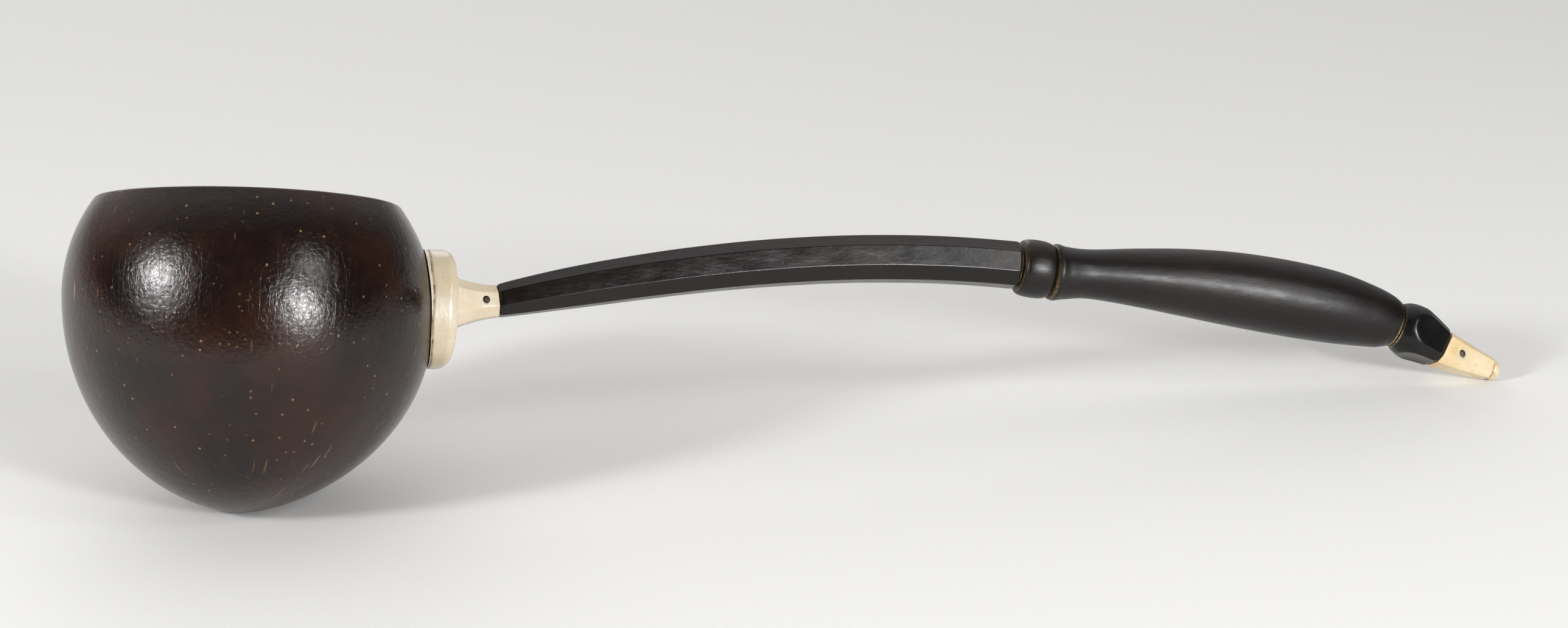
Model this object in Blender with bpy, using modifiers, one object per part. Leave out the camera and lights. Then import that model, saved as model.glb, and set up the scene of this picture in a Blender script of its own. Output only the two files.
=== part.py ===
"""Coconut-shell dipper: a polished half coconut with a bone flange and socket, an arched octagonal
shaft of ebony, a turned bead, a swelling grip, a faceted end cap and a bone tip.

The ladle is modelled in its own frame, with the bowl's pole at the origin, the bowl's axis along +Z
and the handle towards +X. The empty named "resting_pose" then leans it back and lets its tip drop
until it lies on a table, on a small flat worn into the shell and on the end of the tip. Sizes are
in metres.
"""
import math

import bmesh
import bpy
from mathutils import Vector
from mathutils.geometry import interpolate_bezier

# How the ladle lies: leaning back about the handle, with the tip's end lower than the socket.
REST_LEAN = math.radians(22.6)
REST_PITCH = math.radians(7.16)
FOOT_DEPTH = 0.0011      # how deep the flat that the bowl rests on is worn into the shell

GAP = 0.0003            # clearance between pieces that touch
OVERSHOOT = 0.004       # how far a cutter runs past the surface it opens
WELD = 0.000001         # corners nearer than this are one corner

# Bowl: half a coconut. Its section bulges below the belly and is an ellipse above it.
BOWL_RADIUS = 0.0525
BELLY_HEIGHT = 0.0594
RIM_HEIGHT = 0.0880
UPPER_SEMI_AXIS = 0.0504
LOWER_SQUARENESS = 2.11
LOWER_FULLNESS = 1.71
BOWL_SWAY = (-0.0021, -0.0014, 0.0022)   # the nut's middle wanders: shift per power of the rise
POLE_WALL = 0.0052       # the shell is thickest at its pole
RIM_WALL = 0.0031
BOWL_STEPS = 48
LOWER_LEVELS = 11        # levels of the section below the belly, closer together near the pole
UPPER_LEVELS = 6

# Bone flange: a plate with a rounded front edge, its back scooped to fit the shell.
FLANGE_HEIGHT = 0.0599                   # of its middle, above the bowl's pole
FLANGE_HALF_HEIGHT = 0.0171
FLANGE_HALF_WIDTH = 0.0190
FLANGE_SQUARENESS = 2.5                  # power of the outline: 2 is an ellipse
FLANGE_BACK = 0.0440                     # inside the bowl, before it is scooped
FLANGE_FACE = 0.0572
FLANGE_ROUNDING = 0.0028

# Neck: grows out of the flange and narrows to the socket's mouth.
NECK_START = Vector((0.0540, 0, 0.0615))
NECK_END = Vector((0.0714, 0, 0.0630))
NECK_END_ANGLE = 7.0                     # degrees, of the mouth's plane
NECK_BASE_APOTHEM = 0.0092
NECK_END_APOTHEM = 0.00455
NECK_FLARE = 1.7
NECK_BASE_FLAT = 0.55                    # half a main flat, as a share of the apothem
HANDLE_FLAT = 0.45
HANDLE_ROLL = math.radians(5.0)          # the facets are turned a little on the bowl
SOCKET_RADIUS = 0.0030
SOCKET_DEPTH = 0.0130
SOCKET_PIN_X = 0.0675
PIN_RADIUS = 0.00095

# Rivets: three, through flange and shell, aimed at the bowl's middle.
RIVET_RADIUS = 0.0011
RIVET_SPREAD = math.radians(14.8)        # angle between a rivet and the handle's direction
RIVET_TURNS = (33.0, 153.0, 273.0)       # degrees around the flange from the top
ROVE_RADIUS = 0.0026
ROVE_THICKNESS = 0.0008
ROVE_CLEARANCE = 0.0004                  # a flat rove touches the hollow shell only at its edge
RIVET_RECESS = 0.0002                    # of the outer end, below the flange's face
PEENED_HEAD = (                          # radius and height of the head, from its edge inwards
    (0.0019, 0),
    (0.0016, -0.00055),
    (0.0010, -0.0008),
    (0, -0.0009),
)

# Shaft: octagonal, arched, thin at the socket.
SHAFT_START = Vector((0.0717, 0, 0.0631))
SHAFT_END = Vector((0.2303, 0, 0.0804))
SHAFT_START_ANGLE = 13.0
SHAFT_END_ANGLE = -3.0
SHAFT_START_PULL = 0.062
SHAFT_END_PULL = 0.050
SHAFT_SECTIONS = 17
SHAFT_APOTHEM = 0.00675
SHAFT_THINNING = 0.00218
SHAFT_THINNING_REACH = 0.15              # share of the length over which it thickens
TENON_RADIUS = 0.0027
TENON_ROOT = 0.003                       # how far the tenon runs into the shaft it grows from

# Bead between shaft and grip, turned, threaded on the grip's dowel.
BEAD_MIDDLE = Vector((0.23565, 0, 0.0796))
BEAD_ANGLE = -6.0
BEAD_HALF_WIDTH = 0.0047
BEAD_RADIUS = 0.0088
BEAD_END_RADIUS = 0.0071
DOWEL_RADIUS = 0.0026
DOWEL_IN_SHAFT = 0.010
DOWEL_IN_GRIP = 0.014

# Grip: round, along a curve, with its radius at each point.
GRIP_AXIS = (
    # x, z, radius
    (0.2411, 0.0790, 0.0082),
    (0.2425, 0.0789, 0.0086),
    (0.2455, 0.0788, 0.0080),
    (0.2535, 0.0788, 0.0075),
    (0.2690, 0.0784, 0.0089),
    (0.2850, 0.0775, 0.0104),
    (0.3010, 0.0761, 0.0114),
    (0.3170, 0.0742, 0.0117),
    (0.3320, 0.0721, 0.0112),
    (0.3430, 0.0701, 0.0099),
    (0.3500, 0.0686, 0.0086),
    (0.3539, 0.0675, 0.0070),
)
GRIP_SECTIONS = 34

# End cap: a round shoulder cut by a tapering square with chamfered corners.
CAP_START = Vector((0.3544, 0, 0.0673))
CAP_END = Vector((0.3688, 0, 0.0607))
CAP_START_ANGLE = -16.0
CAP_END_ANGLE = -29.0
CAP_RADII = (0.0069, 0.0080, 0.0086, 0.0089, 0.0090, 0.0090, 0.0090, 0.0090)
CAP_START_APOTHEM = 0.0092
CAP_END_APOTHEM = 0.0058
CAP_TAPER_BEYOND = 0.0008                # apothem gained or lost where the facets' cutter overshoots
CAP_FLAT = 0.62
TIP_ROLL = math.radians(7.0)
CAP_DOWEL_RADIUS = 0.0019
CAP_DOWEL_START = Vector((0.3450, 0, 0.0711))
CAP_DOWEL_END = Vector((0.3795, 0, 0.0568))

# Bone tip: the same section, tapering on to a shoulder and a small button.
TIP_START = Vector((0.3693, 0, 0.0604))
TIP_MIDDLE = Vector((0.3775, 0, 0.0574))
TIP_END = Vector((0.3864, 0, 0.0546))
TIP_END_ANGLE = -19.0
TIP_START_APOTHEM = 0.0056
TIP_MIDDLE_APOTHEM = 0.0045
TIP_END_APOTHEM = 0.0032
BUTTON_RADIUS = 0.0031
BUTTON_LENGTH = 0.0030
BUTTON_ROOT = 0.0015
TIP_PIN_X = 0.3748

# Colour, roughness and metallic value of each material.
FINISHES = {
    "coconut_shell": ((0.030, 0.016, 0.011), 0.28, 0.0),
    "bone": ((0.78, 0.69, 0.50), 0.38, 0.0),
    "ebony": ((0.014, 0.011, 0.010), 0.32, 0.0),
    "copper_alloy": ((0.16, 0.11, 0.075), 0.55, 1.0),
    "dowel_wood": ((0.35, 0.22, 0.11), 0.70, 0.0),
}


def clear_scene():
    for item in list(bpy.data.objects):
        bpy.data.objects.remove(item, do_unlink=True)


def make_collection(name):
    collection = bpy.data.collections.new(name)
    bpy.context.scene.collection.children.link(collection)
    return collection


def make_finish(name):
    colour, roughness, metallic = FINISHES[name]
    finish = bpy.data.materials.new(name)
    finish.use_nodes = True
    shader = finish.node_tree.nodes["Principled BSDF"]
    shader.inputs["Base Color"].default_value = (*colour, 1)
    shader.inputs["Roughness"].default_value = roughness
    shader.inputs["Metallic"].default_value = metallic
    return finish


def heading(angle):
    """Unit vector along the handle at an angle in degrees above +X."""
    return Vector((math.cos(math.radians(angle)), 0, math.sin(math.radians(angle))))


def place(item, point, direction):
    """Put an object's origin at a point of the ladle, with its own Z axis along a direction."""
    item.location = point
    item.rotation_mode = "QUATERNION"
    item.rotation_quaternion = direction.to_track_quat("Z", "Y")


def add_object(name, mesh, finish=None, smooth_angle=35):
    """A visible piece where a finish is named, or else a cutter."""
    item = bpy.data.objects.new(name, mesh)
    mesh.shade_smooth()
    mesh.set_sharp_from_angle(angle=math.radians(smooth_angle))
    if finish:
        mesh.materials.append(finishes[finish])
        pieces.objects.link(item)
    else:
        cutters.objects.link(item)
        item.hide_render = True
        item.display_type = "WIRE"
    item.parent = resting_pose
    return item


def combine(item, tool, operation):
    step = item.modifiers.new(f"{operation.lower()}_{tool.name}", "BOOLEAN")
    step.operation = operation
    step.object = tool


def turned(name, profile, finish=None, steps=24):
    """A body turned about its own Z axis. The profile's (radius, height) points run down the outer
    side, and it is closed into a ring where it doesn't start on the axis."""
    mesh = bpy.data.meshes.new(name)
    shape = bmesh.new()
    points = [shape.verts.new((radius, 0, height)) for radius, height in profile]
    for first, second in zip(points, points[1:]):
        shape.edges.new((first, second))
    if profile[0][0] > 0:
        shape.edges.new((points[-1], points[0]))
    shape.to_mesh(mesh)
    shape.free()
    item = add_object(name, mesh, finish)
    screw = item.modifiers.new("turn", "SCREW")
    screw.steps = screw.render_steps = steps
    screw.use_merge_vertices = True
    screw.merge_threshold = WELD
    return item


def rod(name, start, end, radius, finish=None, sides=16):
    mesh = bpy.data.meshes.new(name)
    shape = bmesh.new()
    bmesh.ops.create_cone(
        shape, cap_ends=True, segments=sides, radius1=radius, radius2=radius, depth=(end - start).length)
    shape.to_mesh(mesh)
    shape.free()
    item = add_object(name, mesh, finish)
    place(item, (start + end) / 2, end - start)
    return item


def chamfered_square(apothem, flat, roll):
    """Eight (side, up) corners. Each main flat is twice flat * apothem long."""
    near = apothem * flat
    corners = [(apothem, near), (near, apothem), (-near, apothem), (-apothem, near),
               (-apothem, -near), (-near, -apothem), (near, -apothem), (apothem, -near)]
    return [(side * math.cos(roll) + up * math.sin(roll), up * math.cos(roll) - side * math.sin(roll))
            for side, up in corners]


def loft(name, stations, finish=None):
    """A body through outlines of equal count. A station is (middle, angle in degrees, outline)."""
    shape = bmesh.new()
    rings = []
    for middle, angle, outline in stations:
        upwards = heading(angle + 90)
        rings.append([shape.verts.new(middle + Vector((0, side, 0)) + upwards * up)
                      for side, up in outline])
    for ring, following in zip(rings, rings[1:]):
        for index in range(len(ring)):
            after = (index + 1) % len(ring)
            shape.faces.new((ring[index], ring[after], following[after], following[index]))
    shape.faces.new(rings[0])
    shape.faces.new(rings[-1])
    bmesh.ops.recalc_face_normals(shape, faces=shape.faces)
    mesh = bpy.data.meshes.new(name)
    shape.to_mesh(mesh)
    shape.free()
    return add_object(name, mesh, finish, smooth_angle=20)


def curve_to_piece(name, curve, finish=None):
    """Turn a curve object into a mesh piece with its end caps welded on."""
    guide = bpy.data.objects.new(f"{name}_curve", curve)
    cutters.objects.link(guide)
    bpy.context.view_layer.update()
    evaluated = guide.evaluated_get(bpy.context.evaluated_depsgraph_get())
    mesh = bpy.data.meshes.new_from_object(evaluated)
    bpy.data.objects.remove(guide, do_unlink=True)
    shape = bmesh.new()
    shape.from_mesh(mesh)
    bmesh.ops.remove_doubles(shape, verts=shape.verts, dist=WELD)
    bmesh.ops.recalc_face_normals(shape, faces=shape.faces)
    shape.to_mesh(mesh)
    shape.free()
    return add_object(name, mesh, finish)


def round_bar(name, points, radii, finish=None, resolution=8):
    """A round bar along points whose radius changes from point to point."""
    curve = bpy.data.curves.new(name, "CURVE")
    curve.dimensions = "3D"
    curve.twist_mode = "Z_UP"
    curve.bevel_depth = 1.0
    curve.bevel_resolution = resolution
    curve.use_fill_caps = True
    spline = curve.splines.new("POLY")
    spline.points.add(len(points) - 1)
    for place_on_curve, point, radius in zip(spline.points, points, radii):
        place_on_curve.co = (*point, 1)
        place_on_curve.radius = radius
    return curve_to_piece(name, curve, finish)


def along(rows, share):
    """Read a smooth curve through rows of numbers (Catmull-Rom) at a share of its length."""
    position = share * (len(rows) - 1)
    index = min(int(position), len(rows) - 2)
    t = position - index
    before, first, second, after = (
        rows[min(max(index + step, 0), len(rows) - 1)] for step in (-1, 0, 1, 2))
    return [0.5 * (2 * b + (c - a) * t + (2 * a - 5 * b + 4 * c - d) * t ** 2
                   + (3 * b - a - 3 * c + d) * t ** 3)
            for a, b, c, d in zip(before, first, second, after)]


def bowl_radius(height):
    """Outer radius of the coconut at a height above its pole."""
    if height < BELLY_HEIGHT:
        depth = 1 - height / BELLY_HEIGHT
        return BOWL_RADIUS * (1 - depth ** LOWER_SQUARENESS) ** (1 / LOWER_FULLNESS)
    return BOWL_RADIUS * math.sqrt(1 - ((height - BELLY_HEIGHT) / UPPER_SEMI_AXIS) ** 2)


def bowl_shift(height):
    """How far the nut's section wanders towards +X at a height."""
    rise = height / BELLY_HEIGHT - 1
    return sum(amount * rise ** (power + 1) for power, amount in enumerate(BOWL_SWAY))


def wall_at(height):
    return POLE_WALL + (RIM_WALL - POLE_WALL) * height / RIM_HEIGHT


def bowl_profile(offset_at=None):
    """Outer profile of the bowl from rim to pole, moved outwards by an offset that depends on height."""
    lower = [BELLY_HEIGHT * (1 - math.cos(step / LOWER_LEVELS * math.pi / 2)) for step in range(LOWER_LEVELS)]
    upper = [BELLY_HEIGHT + (RIM_HEIGHT - BELLY_HEIGHT) * step / (UPPER_LEVELS - 1)
             for step in range(UPPER_LEVELS)]
    profile = []
    for height in reversed(lower + upper):
        low, high = max(height - WELD, 0), height + WELD
        slope = Vector((bowl_radius(high) - bowl_radius(low), high - low)).normalized()
        outwards = Vector((slope.y, -slope.x)) if height > 0 else Vector((0, -1))
        offset = offset_at(height) if offset_at else 0
        profile.append((bowl_radius(height) + outwards.x * offset, height + outwards.y * offset))
    return profile


def wander(item):
    """Shift each level of a bowl-shaped mesh sideways, as the nut does. The screw is applied first."""
    evaluated = item.evaluated_get(bpy.context.evaluated_depsgraph_get())
    mesh = bpy.data.meshes.new_from_object(evaluated)
    item.modifiers.clear()
    item.data = mesh
    for vertex in mesh.vertices:
        vertex.co.x += bowl_shift(vertex.co.z)
    mesh.shade_smooth()
    mesh.set_sharp_from_angle(angle=math.radians(35))


def make_bowl():
    outer = bowl_profile()
    inner = bowl_profile(lambda height: -wall_at(height))[1:]
    rim_slope = outer[1][0] - outer[0][0], outer[0][1] - outer[1][1]
    rim_cut = RIM_WALL * math.hypot(*rim_slope) / rim_slope[1]
    inner_rim = (outer[0][0] - rim_cut, RIM_HEIGHT)
    # Rim to pole outside, then pole to rim inside: a closed run that starts and ends at the rim.
    profile = outer + list(reversed(inner)) + [inner_rim]
    bowl = turned("bowl_shell", profile, "coconut_shell", steps=BOWL_STEPS)
    wander(bowl)
    return bowl


def make_bowl_cutter():
    """The filled bowl, a gap larger, which scoops the flange's back."""
    outline = bowl_profile(lambda height: GAP)
    cutter = turned("bowl_cutter", [(0, outline[0][1])] + outline, steps=BOWL_STEPS)
    wander(cutter)
    return cutter


def make_flange():
    curve = bpy.data.curves.new("flange_plate", "CURVE")
    curve.dimensions = "2D"
    curve.fill_mode = "BOTH"
    curve.extrude = (FLANGE_FACE - FLANGE_BACK) / 2
    spline = curve.splines.new("POLY")
    count = 40
    spline.points.add(count - 1)
    for index, point in enumerate(spline.points):
        turn = 2 * math.pi * (index + 0.5) / count
        across, upwards = math.sin(turn), math.cos(turn)
        power = 2 / FLANGE_SQUARENESS
        point.co = (
            FLANGE_HALF_HEIGHT * math.copysign(abs(upwards) ** power, upwards),
            FLANGE_HALF_WIDTH * math.copysign(abs(across) ** power, across), 0, 1)
    spline.use_cyclic_u = True
    flange = curve_to_piece("bone_flange", curve, "bone")
    flange.location = ((FLANGE_BACK + FLANGE_FACE) / 2, 0, FLANGE_HEIGHT)
    flange.rotation_euler = (0, math.pi / 2, 0)
    rounding = flange.modifiers.new("rounded_edge", "BEVEL")
    rounding.width = FLANGE_ROUNDING
    rounding.segments = 3
    rounding.limit_method = "ANGLE"
    rounding.angle_limit = math.radians(60)
    return flange


def make_neck():
    stations = []
    count = 9
    for index in range(count):
        share = index / (count - 1)
        flare = (1 - share) ** NECK_FLARE
        apothem = NECK_END_APOTHEM + (NECK_BASE_APOTHEM - NECK_END_APOTHEM) * flare
        flat = HANDLE_FLAT + (NECK_BASE_FLAT - HANDLE_FLAT) * flare
        middle = NECK_START.lerp(NECK_END, share)
        outline = chamfered_square(apothem, flat, HANDLE_ROLL)
        stations.append((middle, NECK_END_ANGLE * share, outline))
    return loft("neck", stations)


def rivet_line(turn):
    """Unit vector from the bowl's middle along a rivet, and how far out the shell lies along it."""
    turn = math.radians(turn)
    direction = Vector((
        math.cos(RIVET_SPREAD),
        -math.sin(RIVET_SPREAD) * math.sin(turn),
        math.sin(RIVET_SPREAD) * math.cos(turn)))
    reach = BOWL_RADIUS
    for _ in range(4):
        height = FLANGE_HEIGHT + reach * direction.z
        across = Vector((reach * direction.x - bowl_shift(height), reach * direction.y))
        reach += bowl_radius(height) - across.length
    return direction, reach


def make_rivets(bowl, flange):
    """Three rivets with their peened heads on small roves inside the bowl."""
    middle = Vector((0, 0, FLANGE_HEIGHT))
    for number, turn in enumerate(RIVET_TURNS, start=1):
        direction, reach = rivet_line(turn)
        shell_inside = reach - wall_at(FLANGE_HEIGHT + reach * direction.z)
        rove_seat = shell_inside - GAP - ROVE_CLEARANCE
        head_seat = rove_seat - ROVE_THICKNESS - GAP
        outer_end = FLANGE_FACE / direction.x - RIVET_RECESS
        bore = rod(f"rivet_bore_{number}", middle + direction * (shell_inside - OVERSHOOT),
                   middle + direction * (outer_end + OVERSHOOT), RIVET_RADIUS + GAP)
        combine(bowl, bore, "DIFFERENCE")
        combine(flange, bore, "DIFFERENCE")
        rivet = turned(f"flange_rivet_{number}", [
            (0, outer_end - head_seat),
            (RIVET_RADIUS, outer_end - head_seat),
            (RIVET_RADIUS, 0),
            *PEENED_HEAD], "copper_alloy", steps=16)
        place(rivet, middle + direction * head_seat, direction)
        rove = turned(f"rivet_rove_{number}", [
            (ROVE_RADIUS, 0), (ROVE_RADIUS, -ROVE_THICKNESS),
            (RIVET_RADIUS + GAP, -ROVE_THICKNESS), (RIVET_RADIUS + GAP, 0)], "copper_alloy", steps=16)
        place(rove, middle + direction * rove_seat, direction)


def cross_pin(name, middle, half_length, roll, bored):
    """A pin through the handle, square to its front facet, and its bore in each piece it crosses."""
    square = Vector((0, math.cos(roll), -math.sin(roll)))
    pin = rod(name, middle - square * half_length, middle + square * half_length, PIN_RADIUS, "copper_alloy")
    reach = square * (half_length + OVERSHOOT)
    bore = rod(f"{name}_bore", middle - reach, middle + reach, PIN_RADIUS + GAP)
    for item in bored:
        combine(item, bore, "DIFFERENCE")
    return pin


def make_shaft():
    knots = (SHAFT_START, SHAFT_START + heading(SHAFT_START_ANGLE) * SHAFT_START_PULL,
             SHAFT_END - heading(SHAFT_END_ANGLE) * SHAFT_END_PULL, SHAFT_END)
    middles = interpolate_bezier(*knots, SHAFT_SECTIONS)
    stations = []
    for index, middle in enumerate(middles):
        share = index / (SHAFT_SECTIONS - 1)
        ahead = middles[min(index + 1, SHAFT_SECTIONS - 1)] - middles[max(index - 1, 0)]
        angle = math.degrees(math.atan2(ahead.z, ahead.x))
        if index == 0:
            angle = NECK_END_ANGLE
        apothem = SHAFT_APOTHEM - SHAFT_THINNING * math.exp(-share / SHAFT_THINNING_REACH)
        stations.append((middle, angle, chamfered_square(apothem, HANDLE_FLAT, HANDLE_ROLL)))
    return loft("shaft", stations, "ebony")


def make_bead():
    profile = [(BEAD_END_RADIUS, BEAD_HALF_WIDTH)]
    for step in range(1, 8):
        swing = math.pi * step / 8
        profile.append((BEAD_END_RADIUS + (BEAD_RADIUS - BEAD_END_RADIUS) * math.sin(swing) ** 0.7,
                        BEAD_HALF_WIDTH * math.cos(swing)))
    profile += [(BEAD_END_RADIUS, -BEAD_HALF_WIDTH),
                (DOWEL_RADIUS + GAP, -BEAD_HALF_WIDTH), (DOWEL_RADIUS + GAP, BEAD_HALF_WIDTH)]
    bead = turned("collar_bead", profile, "ebony", steps=28)
    place(bead, BEAD_MIDDLE, heading(BEAD_ANGLE))
    return bead


def make_grip():
    rows = [along(GRIP_AXIS, index / (GRIP_SECTIONS - 1)) for index in range(GRIP_SECTIONS)]
    return round_bar("grip", [(x, 0, z) for x, z, _ in rows], [radius for *_, radius in rows], "ebony")


def make_end_cap():
    pull = (CAP_END - CAP_START).length / 3
    knots = (CAP_START, CAP_START + heading(CAP_START_ANGLE) * pull,
             CAP_END - heading(CAP_END_ANGLE) * pull, CAP_END)
    middles = interpolate_bezier(*knots, len(CAP_RADII))
    cap = round_bar("end_cap", middles, CAP_RADII, "ebony")
    facets = loft("cap_facets", [
        (CAP_START - heading(CAP_START_ANGLE) * OVERSHOOT, CAP_START_ANGLE,
         chamfered_square(CAP_START_APOTHEM + CAP_TAPER_BEYOND, CAP_FLAT, TIP_ROLL)),
        (CAP_START, CAP_START_ANGLE, chamfered_square(CAP_START_APOTHEM, CAP_FLAT, TIP_ROLL)),
        (CAP_END, CAP_END_ANGLE, chamfered_square(CAP_END_APOTHEM, CAP_FLAT, TIP_ROLL)),
        (CAP_END + heading(CAP_END_ANGLE) * OVERSHOOT, CAP_END_ANGLE,
         chamfered_square(CAP_END_APOTHEM - CAP_TAPER_BEYOND, CAP_FLAT, TIP_ROLL))])
    combine(cap, facets, "INTERSECT")
    return cap


def make_tip():
    middle_angle = (CAP_END_ANGLE + TIP_END_ANGLE) / 2
    tip = loft("bone_tip", [
        (TIP_START, CAP_END_ANGLE, chamfered_square(TIP_START_APOTHEM, CAP_FLAT, TIP_ROLL)),
        (TIP_MIDDLE, middle_angle, chamfered_square(TIP_MIDDLE_APOTHEM, CAP_FLAT, TIP_ROLL)),
        (TIP_END, TIP_END_ANGLE, chamfered_square(TIP_END_APOTHEM, CAP_FLAT, TIP_ROLL))], "bone")
    dome = [(BUTTON_RADIUS * math.cos(step * math.pi / 10), BUTTON_LENGTH * math.sin(step * math.pi / 10))
            for step in range(4, -1, -1)]
    root = [(BUTTON_RADIUS, -BUTTON_ROOT), (0, -BUTTON_ROOT)]
    button = turned("button", [(0, BUTTON_LENGTH)] + dome + root, steps=20)
    place(button, TIP_END, heading(TIP_END_ANGLE))
    combine(tip, button, "UNION")
    return tip


def make_handle(bowl, flange):
    neck = make_neck()
    combine(flange, neck, "UNION")
    combine(flange, make_bowl_cutter(), "DIFFERENCE")
    socket_line = (NECK_END - NECK_START).normalized()
    socket = rod("socket", NECK_END - socket_line * SOCKET_DEPTH, NECK_END + socket_line * OVERSHOOT,
                 SOCKET_RADIUS, sides=20)
    combine(flange, socket, "DIFFERENCE")
    make_rivets(bowl, flange)

    shaft = make_shaft()
    tenon = rod("tenon", NECK_END - socket_line * (SOCKET_DEPTH - GAP),
                SHAFT_START + socket_line * TENON_ROOT, TENON_RADIUS, sides=20)
    combine(shaft, tenon, "UNION")
    pin_share = (SOCKET_PIN_X - NECK_START.x) / (NECK_END.x - NECK_START.x)
    pin_middle = NECK_START.lerp(NECK_END, pin_share)
    flare = (1 - pin_share) ** NECK_FLARE
    neck_apothem = NECK_END_APOTHEM + (NECK_BASE_APOTHEM - NECK_END_APOTHEM) * flare
    cross_pin("socket_pin", pin_middle, neck_apothem, HANDLE_ROLL, (flange, shaft))

    bead = make_bead()
    grip = make_grip()
    dowel_line = heading(BEAD_ANGLE)
    dowel_start = BEAD_MIDDLE - dowel_line * (BEAD_HALF_WIDTH + DOWEL_IN_SHAFT)
    dowel_end = BEAD_MIDDLE + dowel_line * (BEAD_HALF_WIDTH + DOWEL_IN_GRIP)
    rod("grip_dowel", dowel_start, dowel_end, DOWEL_RADIUS, "dowel_wood")
    dowel_bore = rod("dowel_bore", dowel_start - dowel_line * GAP, dowel_end + dowel_line * GAP,
                     DOWEL_RADIUS + GAP)
    combine(shaft, dowel_bore, "DIFFERENCE")
    combine(grip, dowel_bore, "DIFFERENCE")

    cap = make_end_cap()
    tip = make_tip()
    cap_dowel = rod("cap_dowel", CAP_DOWEL_START, CAP_DOWEL_END, CAP_DOWEL_RADIUS, "dowel_wood")
    cap_line = (CAP_DOWEL_END - CAP_DOWEL_START).normalized()
    cap_bore = rod("cap_bore", CAP_DOWEL_START - cap_line * GAP, CAP_DOWEL_END + cap_line * GAP,
                   CAP_DOWEL_RADIUS + GAP)
    for item in (grip, cap, tip):
        combine(item, cap_bore, "DIFFERENCE")
    pin_share = (TIP_PIN_X - TIP_START.x) / (TIP_MIDDLE.x - TIP_START.x)
    tip_apothem = TIP_START_APOTHEM + (TIP_MIDDLE_APOTHEM - TIP_START_APOTHEM) * pin_share
    cross_pin("tip_pin", TIP_START.lerp(TIP_MIDDLE, pin_share), tip_apothem, TIP_ROLL, (tip, cap_dowel))
    return bead


def stand_on_table(bowl):
    """Put the middle of the resting ladle's footprint at the origin, with the worn flat on the table."""
    bpy.context.view_layer.update()
    graph = bpy.context.evaluated_depsgraph_get()
    corners = []
    for item in pieces.objects:
        evaluated = item.evaluated_get(graph)
        mesh = evaluated.to_mesh()
        corners += [evaluated.matrix_world @ vertex.co for vertex in mesh.vertices]
        evaluated.to_mesh_clear()
    low = Vector([min(corner[axis] for corner in corners) for axis in range(3)])
    high = Vector([max(corner[axis] for corner in corners) for axis in range(3)])
    resting_pose.location = (-(low.x + high.x) / 2, -(low.y + high.y) / 2, -low.z - FOOT_DEPTH)
    table = rod("table", Vector((0, 0, -FOOT_DEPTH - OVERSHOOT)), Vector(), high.x - low.x, sides=4)
    table.parent = None
    combine(bowl, table, "DIFFERENCE")


clear_scene()
pieces = make_collection("coconut_dipper")
cutters = make_collection("cutters")
finishes = {name: make_finish(name) for name in FINISHES}
resting_pose = bpy.data.objects.new("resting_pose", None)
resting_pose.rotation_euler = (-REST_LEAN, REST_PITCH, 0)
bpy.context.scene.collection.objects.link(resting_pose)

bowl_shell = make_bowl()
bone_flange = make_flange()
make_handle(bowl_shell, bone_flange)
stand_on_table(bowl_shell)
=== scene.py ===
"""Looks of the coconut-shell dipper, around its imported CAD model.

Every piece is modelled in the ladle's own frame, in metres: the bowl's pole at the origin, the
bowl's axis along +Z and the handle towards +X. ladle_pose then lays it down as the CAD model lies.
"""
import math

import bpy
import numpy as np
from mathutils import Euler, Matrix, Vector, noise
from mathutils.geometry import interpolate_bezier


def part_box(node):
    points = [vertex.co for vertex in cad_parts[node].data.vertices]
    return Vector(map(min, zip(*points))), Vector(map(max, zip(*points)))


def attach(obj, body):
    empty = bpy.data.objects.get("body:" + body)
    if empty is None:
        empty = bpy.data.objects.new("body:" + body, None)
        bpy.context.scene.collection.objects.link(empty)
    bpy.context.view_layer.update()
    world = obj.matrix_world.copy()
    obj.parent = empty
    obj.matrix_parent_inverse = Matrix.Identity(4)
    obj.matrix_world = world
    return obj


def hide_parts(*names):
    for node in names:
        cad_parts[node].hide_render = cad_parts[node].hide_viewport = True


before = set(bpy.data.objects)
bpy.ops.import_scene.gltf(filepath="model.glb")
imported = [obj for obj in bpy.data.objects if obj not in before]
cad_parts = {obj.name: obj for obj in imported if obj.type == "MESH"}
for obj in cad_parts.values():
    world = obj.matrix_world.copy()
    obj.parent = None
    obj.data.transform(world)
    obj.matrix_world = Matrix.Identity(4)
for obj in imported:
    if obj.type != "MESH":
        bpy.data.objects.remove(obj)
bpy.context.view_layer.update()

MM = 0.001

# How the ladle lies on the table, and the gap between pieces that touch.
REST_LEAN = math.radians(22.6)
REST_PITCH = math.radians(7.16)
GAP = 0.0003

# Bowl: half a coconut, as in the CAD model.
BOWL_RADIUS = 0.0525
BELLY_HEIGHT = 0.0594
RIM_HEIGHT = 0.0880
UPPER_SEMI_AXIS = 0.0504
LOWER_SQUARENESS = 2.11
LOWER_FULLNESS = 1.71
BOWL_SWAY = (-0.0021, -0.0014, 0.0022)
POLE_WALL = 0.0052
RIM_WALL = 0.0031
RIM_ROUNDING = 0.0005
BOWL_COLUMNS = 300
OUTER_LEVELS = 170
INNER_LEVELS = 110

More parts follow.
